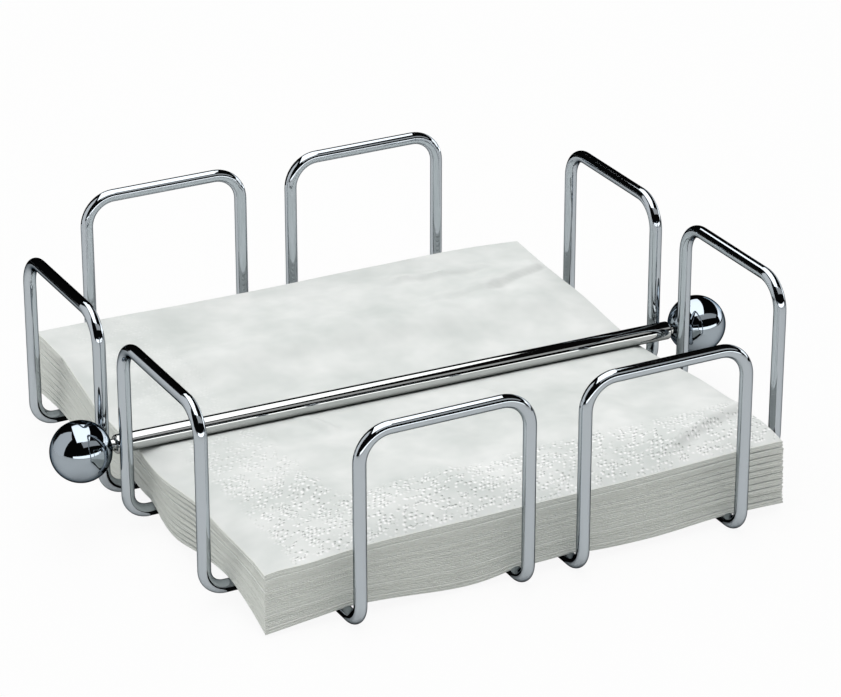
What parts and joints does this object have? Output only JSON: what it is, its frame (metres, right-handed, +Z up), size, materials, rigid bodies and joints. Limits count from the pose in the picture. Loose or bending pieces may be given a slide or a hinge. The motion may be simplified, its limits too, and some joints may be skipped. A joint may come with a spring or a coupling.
{
  "type": "napkin holder",
  "caption": "Square chrome wire napkin holder with round-cornered loops on every side and a ball-ended weight bar that lies on a stack of folded paper napkins.",
  "frame": {"origin": "on the table under the middle of the holder", "axes": "+X along the weight bar to the right, +Y to the rear, +Z up"},
  "size_m": [0.2228, 0.188, 0.0611],
  "materials": {
    "chrome_wire": "polished",
    "chrome_bar": "polished",
    "napkin_paper": "matte"
  },
  "bodies": {
    "frame": {"upper_loop_front": "chrome_wire", "upper_loop_rear": "chrome_wire", "lower_loop_left": "chrome_wire", "lower_loop_right": "chrome_wire"},
    "napkin_stack": {"napkin_01": "napkin_paper", "napkin_02": "napkin_paper", "napkin_03": "napkin_paper", "napkin_04": "napkin_paper", "napkin_05": "napkin_paper", "napkin_06": "napkin_paper", "napkin_07": "napkin_paper", "napkin_08": "napkin_paper", "napkin_09": "napkin_paper", "napkin_10": "napkin_paper"},
    "weight_bar": {"bar_rod": "chrome_bar", "ball_left": "chrome_bar", "ball_right": "chrome_bar"}
  },
  "joints": [
    {"name": "napkin_lift", "type": "slide", "parent": "frame", "child": "napkin_stack", "axis": [0, 0, 1], "range_m": [0, 0.07]},
    {"name": "bar_lift", "type": "slide", "parent": "napkin_stack", "child": "weight_bar", "axis": [0, 0, 1], "range_m": [0, 0.06]}
  ]
}
